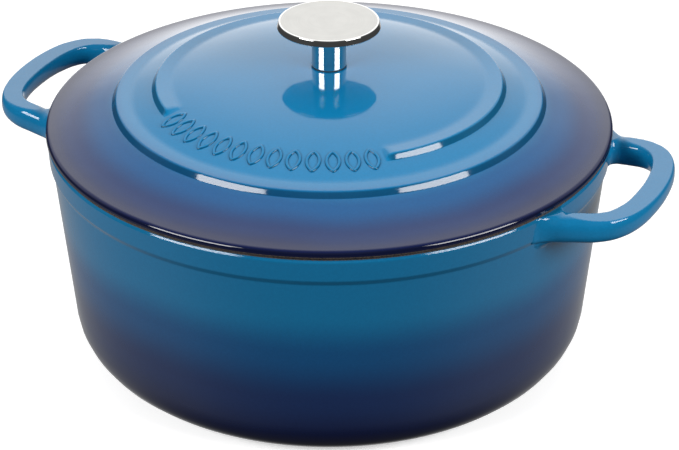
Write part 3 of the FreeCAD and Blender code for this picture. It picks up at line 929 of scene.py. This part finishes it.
def aroundPart(degrees, away, high):
    # 0 is the camera's side, positive turns to the camera's right
    a = math.radians(studio["turn"] + degrees - 90)
    return Vector((away * math.cos(a), away * math.sin(a), high))


def addCamera():
    data = bpy.data.cameras.new("view")
    data.sensor_width = studio["sensor"]
    data.lens = studio["lens"]
    data.clip_start, data.clip_end = 0.05, 50
    camera = newObject("view", data)
    stand = Matrix.Translation(aroundPart(0, studio["cameraAway"], studio["cameraHigh"]))
    turn = Matrix.Rotation(math.radians(studio["turn"] - studio["yaw"]), 4, "Z")
    tip = Matrix.Rotation(math.radians(90 - studio["pitch"]), 4, "X")
    roll = Matrix.Rotation(math.radians(studio["roll"]), 4, "Z")
    camera.matrix_world = stand @ turn @ tip @ roll
    bpy.context.scene.camera = camera


def addSoftbox(name, degrees, width):
    data = bpy.data.lights.new(name, "AREA")
    data.shape = "RECTANGLE"
    data.size, data.size_y = width, studio["boxTall"]
    data.energy = studio["boxPower"]
    light = newObject(name, data)
    light.location = aroundPart(degrees, studio["boxAway"], studio["boxHigh"])
    aim = Vector((0, 0, studio["boxAim"])) - light.location
    light.rotation_euler = aim.to_track_quat("-Z", "Y").to_euler()


def addWorld():
    world = bpy.data.worlds.new("studio")
    bpy.context.scene.world = world
    world.use_nodes = True
    tree = world.node_tree
    ray = addNode(tree, "ShaderNodeTexCoord").outputs["Generated"]

    def partAlong(direction):
        dot = addNode(tree, "ShaderNodeVectorMath", {0: ray, 1: direction}, operation="DOT_PRODUCT")
        return dot.outputs["Value"]

    def blend(value, fade, first, second):
        return mapRange(tree, value, *fades[fade], first, second, "SMOOTHSTEP")

    toCamera = partAlong(aroundPart(0, 1, 0))
    across = mathNode(tree, "ABSOLUTE", partAlong(aroundPart(90, 1, 0)))
    up = splitVector(tree, ray)["Z"]
    sky = blend(toCamera, "sky", studio["skyBehind"], studio["skyFront"])
    sky = mathNode(tree, "MULTIPLY", sky, blend(across, "skyAside", 1.0, studio["skyAside"]))
    table = blend(toCamera, "table", studio["tableSide"], studio["tableFront"])
    table = mathNode(tree, "MULTIPLY", table, blend(up, "tableFoot", studio["tableFoot"], 1.0))
    # bright down to the table behind the part, dim low down at its sides and front
    dimFront, dimAside = blend(toCamera, "dimFront", 0.0, 1.0), blend(across, "dimAside", 0.0, 1.0)
    dim = mathNode(tree, "MAXIMUM", dimFront, dimAside)
    dim = mathNode(tree, "MULTIPLY", dim, blend(up, "dimTop", 1.0, 0.0))
    air = addNode(tree, "ShaderNodeMix", {0: dim, 2: sky, 3: studio["lowDark"]}).outputs[0]
    below = blend(up, "horizon", 1.0, 0.0)
    level = addNode(tree, "ShaderNodeMix", {0: below, 2: air, 3: table}).outputs[0]
    tree.links.new(level, tree.nodes["Background"].inputs["Strength"])
    tree.nodes["Background"].inputs["Color"].default_value = (1, 1, 1, 1)


def addFloor():
    bm = bmesh.new()
    bmesh.ops.create_grid(bm, x_segments=8, y_segments=8, size=6)
    mesh = bpy.data.meshes.new("floor")
    bm.to_mesh(mesh)
    bm.free()
    floor = newObject("floor", mesh)
    floor.location.z = -studio["floorDown"]
    material, tree, shader, place = newMaterial("palePaper", {"Roughness": 0.9, "Specular IOR Level": 0.1})
    paper = addNode(tree, "ShaderNodeRGB").outputs[0]
    paper.default_value = (*[studio["floorTone"]] * 3, 1)
    tree.links.new(tintByNoise(tree, paper, place, 2.0, 0.01), shader.inputs["Base Color"])
    shader.inputs["Emission Color"].default_value = (1, 1, 1, 1)
    shader.inputs["Emission Strength"].default_value = studio["floorGlow"]
    mesh.materials.append(material)
    # the glossy enamel sees the table's tone in the world instead of the white floor
    floor.visible_diffuse = False
    floor.visible_glossy = False


addCamera()
addWorld()
addFloor()
for boxName, (degrees, width) in studio["boxes"].items():
    addSoftbox(boxName, degrees, width)
bpy.context.scene.view_settings.view_transform = "Standard"
print("studio ready")
